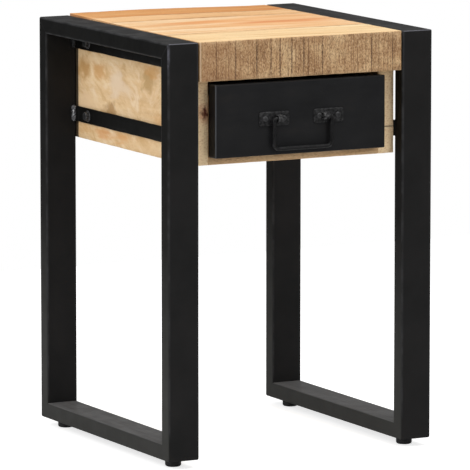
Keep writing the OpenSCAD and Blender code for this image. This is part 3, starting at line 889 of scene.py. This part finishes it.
def add_feet(material):
    """Round glides with a soft rim, a waist line and the peg that holds them in the rail."""
    rim, line, ease, peg = 2.5 * MM, 0.3 * MM, 0.5 * MM, 4 * MM
    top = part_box("left_bottom_rail")[0].z
    waist = top - 1.5 * MM
    for node in ("front_left_foot", "front_right_foot", "rear_left_foot", "rear_right_foot"):
        low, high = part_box(node)
        radius = 0.5 * (high.x - low.x)
        centre = Vector((0.5 * (low.x + high.x), 0.5 * (low.y + high.y), 0))
        profile = [(2 * MM, 0.3 * MM), (radius - rim - MM, 0.0)]
        profile += arc((radius - rim, rim), rim, -90, 0, 6)
        profile += [(radius, waist - 3 * line), (radius - line, waist - 2 * line),
                    (radius - line, waist - line), (radius, waist)]
        profile += [(radius, top - ease), (radius - ease, top), (peg, top), (peg, high.z - MM),
                    (peg - MM, high.z)]
        bm = bmesh.new()
        turned(bm, profile, centre, Z, 48)
        piece(bm, material, node)


# ---------- the drawer ----------

def add_drawer(sheet, small_steel):
    """Boards of the drawer box, the core of its front, and the steel round that core."""
    wood = case_wood("drawer_wood", "X", 120)
    runner_wood = case_wood("drawer_side_wood", "Y", 130)
    board("drawer_front_core", wood, 0.6 * MM, (12 * MM, 6 * MM, 8 * MM))
    board("drawer_inner_front", wood, 0.8 * MM, (10 * MM, 5 * MM, 8 * MM))
    board("drawer_back", wood, 0.8 * MM, (10 * MM, 5 * MM, 8 * MM))
    board("drawer_bottom", wood, 0.5 * MM, (10 * MM, 10 * MM, 4 * MM))
    panel_low, panel_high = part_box("drawer_bottom")
    for side, node in ((-1, "drawer_left_side"), (1, "drawer_right_side")):
        drawer_side(node, side, runner_wood, panel_low, panel_high)
    finish_node("drawer_front_screws", small_steel)
    add_facing(sheet)


def drawer_side(node, side, material, panel_low, panel_high):
    """Side board of the drawer, with the groove that the bottom panel slides in along its inner face."""
    low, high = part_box(node)
    inner = high.x if side < 0 else low.x
    outer = low.x if side < 0 else high.x
    groove = panel_low.x if side < 0 else panel_high.x
    outline = [(outer, low.z), (inner, low.z), (inner, panel_low.z), (groove, panel_low.z),
               (groove, panel_high.z), (inner, panel_high.z), (inner, high.z), (outer, high.z)]
    bm = bmesh.new()
    skin(bm, [[Vector((x, y, z)) for x, z in outline] for y in (low.y, high.y)])
    bmesh.ops.bevel(bm, geom=bm.edges[:], offset=0.4 * MM, segments=2, profile=0.5, affect="EDGES")
    sliced(bm, (9 * MM, 10 * MM, 9 * MM))
    for vertex in bm.verts:
        uneven(vertex, low, high)
    piece(bm, material, node, sharp=60)


def add_facing(material):
    """Thin steel pan round the drawer front, with rounded folds."""
    low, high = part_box("drawer_front_facing")
    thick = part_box("drawer_front_core")[0].x - low.x
    fold = 1.6 * MM
    width, height, depth = high.x - low.x, high.z - low.z, high.y - low.y
    bm = bmesh.new()
    rings = [pan_ring(low, width, height, inset, 0) for inset in (6 * MM, 2.4 * MM)]
    for across, back in arc((fold, fold), fold, 270, 180, 6):
        rings.append(pan_ring(low, width, height, across, back))
    rings += [pan_ring(low, width, height, 0, depth * share) for share in (0.4, 0.7, 1)]
    rings += [pan_ring(low, width, height, thick, depth), pan_ring(low, width, height, thick, thick)]
    skin(bm, rings)
    sliced(bm, (15 * MM, 30 * MM, 12 * MM))
    piece(bm, material, "drawer_front_facing", sharp=60)


def pan_ring(low, width, height, inset, back):
    """Rounded rectangle inset from the edges of the drawer front and set back from its face."""
    radius = max(0.6 * MM, 1.4 * MM - inset)
    outline = rounded_outline(width - 2 * inset, height - 2 * inset, radius)
    return [Vector((low.x + inset + x, low.y + back, low.z + inset + z)) for x, z in outline]


# ---------- the handle ----------

def pivot_place():
    """A point on the axis that the bail turns about."""
    return next(joint for joint in frame["joints"] if joint["name"] == "handle_pivot")["pos_m"]


def bail_path(leg_x, pin_x, pivot_z, grip_z, turn, corner):
    """Centre line of the bail in (x, z), from the left pin to the right one, in short steps."""
    points = [(-pin_x, pivot_z), (-0.5 * (pin_x + leg_x - turn), pivot_z)]
    points += arc((-leg_x + turn, pivot_z - turn), turn, 90, 180, 8)
    steps = 24
    top, bottom = pivot_z - turn, grip_z + corner
    points += [(-leg_x, top + (bottom - top) * i / steps) for i in range(1, steps)]
    points += arc((-leg_x + corner, grip_z + corner), corner, 180, 270, 8)
    span = leg_x - corner
    points += [(-span + span * i / steps, grip_z) for i in range(1, steps + 1)]
    points += [(-x, z) for x, z in reversed(points[:-1])]
    return points


def add_bail(material):
    """Forged bail: a slightly hammered rod, flattened along the grip."""
    low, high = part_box("handle_bail")
    rod = 0.5 * (high.y - low.y)
    pivot = pivot_place()
    leg_x, pin_end = high.x - rod, 26.5 * MM
    pivot_bend, grip_bend = 3.6 * MM, 6.5 * MM
    path = bail_path(leg_x, pin_end, pivot[2], low.z + rod, pivot_bend, grip_bend)
    sides = 20
    rings = []
    for i, (x, z) in enumerate(path):
        before, after = path[max(0, i - 1)], path[min(len(path) - 1, i + 1)]
        along = Vector((after[0] - before[0], 0, after[1] - before[1])).normalized()
        across = along.cross(Y)
        ring = []
        for k in range(sides):
            angle = 2 * math.pi * k / sides
            ray = Y * math.cos(angle) + across * math.sin(angle)
            point = Vector((x, pivot[1], z))
            hammer = 0.93 + 0.07 * noise.noise((point + ray * rod) * 190)
            flat = 1 - 0.06 * abs(math.cos(angle)) ** 3 if z < pivot[2] - 10 * MM else 1
            end = 0.75 if i in (0, len(path) - 1) else 1
            ring.append(point + ray * rod * hammer * flat * end)
        rings.append(ring)
    bm = bmesh.new()
    skin(bm, rings)
    piece(bm, material, "handle_bail")


def add_clip(side, material):
    """Pressed clip: a plate with rounded corners, and a strap over the pin of the bail."""
    node = "handle_left_clip" if side < 0 else "handle_right_clip"
    low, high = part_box(node)
    bm = bmesh.new()
    skin(bm, clip_plate_rings(low, high))
    skin(bm, clip_strap_rings(side * LOOP_MIDDLE, high.y))
    piece(bm, material, node, sharp=40)


def clip_plate_rings(low, high):
    """Outlines of the plate from the drawer face outwards, drawn in at both faces to ease the edges."""
    corner, ease = 3 * MM, 0.4 * MM
    levels = [(ease, 0), (0, ease), (0, CLIP_SHEET - ease), (0.3 * ease, CLIP_SHEET - 0.3 * ease),
              (ease, CLIP_SHEET)]
    rings = []
    for inset, out in levels:
        outline = rounded_outline(high.x - low.x - 2 * inset, high.z - low.z - 2 * inset, corner - inset, 6)
        rings.append([Vector((low.x + inset + x, high.y - out, low.z + inset + z)) for x, z in outline])
    return rings


def clip_strap_rings(middle, face):
    """Arched cross-sections of the strap, from its left to its right edge."""
    pivot = pivot_place()
    half_width, reach, ease = 3.8 * MM, 4.5 * MM, 0.35 * MM
    outer, inner = [], []
    for r, line in ((reach, outer), (reach - CLIP_SHEET, inner)):
        line.append((face - 0.5 * CLIP_SHEET, -r))
        line.extend((pivot[1] + y, z) for y, z in arc((0, 0), r, 270, 90, 14))
        line.append((face - 0.5 * CLIP_SHEET, r))
    section = outer + list(reversed(inner))
    edges = [(-half_width, ease), (ease - half_width, 0), (half_width - ease, 0), (half_width, ease)]
    rings = []
    for x, shrink in edges:
        ring = []
        for number, (y, z) in enumerate(section):
            radial = Vector((0, y - pivot[1], z)).normalized()
            sign = -1 if number < len(outer) else 1
            ring.append(Vector((middle + x, y, pivot[2] + z)) + radial * sign * shrink)
        rings.append(ring)
    return rings


def add_handle_screws(material):
    """Pan-head screws with a cross recess, two in each clip."""
    low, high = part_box("handle_screws")
    clip_low, clip_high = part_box("handle_left_clip")
    radius, shank = 3.3 * MM, 1.5 * MM
    point, point_length = 0.4 * MM, 2 * MM
    clip_middle = 0.5 * (clip_low.x + clip_high.x)
    gap = clip_middle - (low.x + radius)
    z = 0.5 * (low.z + high.z)
    seat = clip_high.y - CLIP_SHEET
    length = high.y - seat
    rod = [(point, length), (shank, length - point_length), (shank, 0)]
    bm = bmesh.new()
    places = [middle + end * gap for middle in (clip_middle, -clip_middle) for end in (-1, 1)]
    for number, x in enumerate(places):
        pan_head(bm, Vector((x, seat, z)), radius, seat - low.y, math.radians(25 + 50 * number))
        turned(bm, rod, Vector((x, seat, z)), Y, 16)
    piece(bm, material, "handle_screws", sharp=40)


def pan_head(bm, centre, radius, height, twist):
    """Domed head that looks along -Y, with a cross recess."""
    slot_half_width, slot_reach, slot_depth = 0.4 * MM, 0.62 * radius, 0.7 * MM
    sides = 48
    rings = []
    shares = (1, 1, 0.97, 0.88, 0.76, 0.64, 0.52, 0.42, 0.33, 0.25, 0.17, 0.1, 0.04)
    for number, share in enumerate(shares):
        lift = 0 if number == 0 else height * math.sqrt(max(0.0, 1 - (share * 0.96) ** 3))
        ring = []
        for i in range(sides):
            angle = 2 * math.pi * i / sides
            u, v = radius * share * math.cos(angle), radius * share * math.sin(angle)
            slot = min(abs(u), abs(v)) < slot_half_width and max(abs(u), abs(v)) < slot_reach
            sink = slot_depth if slot and number > 3 else 0
            x = u * math.cos(twist) - v * math.sin(twist)
            z = u * math.sin(twist) + v * math.cos(twist)
            ring.append(centre + Vector((x, sink - lift, z)))
        rings.append(ring)
    skin(bm, rings)


# ---------- the whole scene ----------

add_camera()
add_studio()
add_floor()

coat = powder_coat("powder_coat", 1.0)
bar_coat = powder_coat("bar_coat", 0.0)
bolt_steel = black_steel("bolt_steel", 50, 26, 46, 2.5 * MM, 0.1 * MM)
iron = black_steel("forged_iron", 30, 9, 19, 5 * MM, 0.35 * MM)
# The screws' steel is coloured paler than the bolts', a painted highlight for the bright rings on their
# heads.
screw_steel = black_steel("screw_steel", 60, 44, 74, 2 * MM, 0.05 * MM)
bead = weld_metal()
for side in (-1, 1):
    add_side_frame(side, coat, bar_coat)
    add_welds(side, bead)
    add_fasteners(side, bolt_steel)
    add_clip(side, iron)
add_feet(foot_plastic())
add_planks()
add_case()
add_drawer(sheet_coat(), bolt_steel)
add_bail(iron)
add_handle_screws(screw_steel)
